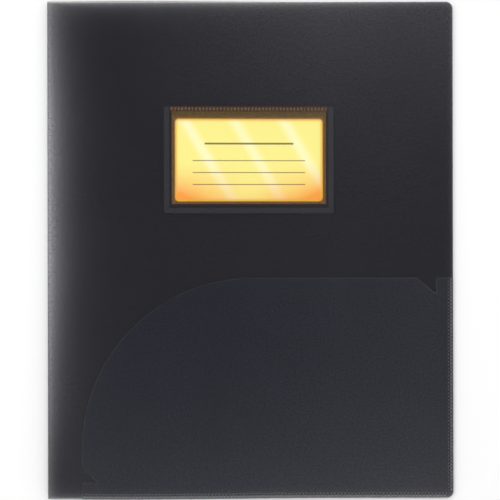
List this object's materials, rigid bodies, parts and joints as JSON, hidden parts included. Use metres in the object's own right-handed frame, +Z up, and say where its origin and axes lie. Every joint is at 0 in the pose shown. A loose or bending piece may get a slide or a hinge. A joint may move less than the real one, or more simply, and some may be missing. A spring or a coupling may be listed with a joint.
{
  "type": "pocket document folder",
  "caption": "Letter-size pocket folder of smoke-grey translucent plastic sheet, hinged at a soft spine, with a card window and welded inner pockets.",
  "frame": {"origin": "centre of the closed folder's footprint, on the table under its back cover", "axes": "+X from the spine to the free edge, +Y up the page, +Z up from the table through the front cover"},
  "size_m": [0.2386, 0.2922, 0.0092],
  "materials": {
    "smoke_sheet": "matte",
    "pocket_sheet": "matte",
    "weld": "satin",
    "clear_film": "gloss",
    "printed_card": "satin"
  },
  "bodies": {
    "back": {"back_cover": "smoke_sheet", "back_pocket": "pocket_sheet", "back_pocket_side_seam": "weld", "back_pocket_foot_seam": "weld"},
    "spine": {"spine": "smoke_sheet"},
    "front": {"front_cover": "smoke_sheet", "front_pocket": "pocket_sheet", "front_pocket_side_seam": "weld", "front_pocket_foot_seam": "weld", "window_film": "clear_film", "window_film_seam": "weld", "card_sleeve": "smoke_sheet", "card_sleeve_seam": "weld"},
    "card": {"card_insert": "printed_card"}
  },
  "joints": [
    {"name": "spine_fold", "type": "hinge", "parent": "back", "child": "spine", "pos_m": [-0.1178, 0, 0.00025], "axis": [0, -1, 0], "range_deg": [0, 88]},
    {"name": "cover_open", "type": "hinge", "parent": "spine", "child": "front", "pos_m": [-0.1178, 0, 0.00675], "axis": [0, -1, 0], "range_deg": [0, 88]},
    {"name": "card_slide", "type": "slide", "parent": "front", "child": "card", "axis": [0, 1, 0], "range_m": [-0.0018, 0.0574]}
  ],
  "couplings": [
    {"joint": "spine_fold", "follows": "cover_open", "ratio": 1}
  ]
}
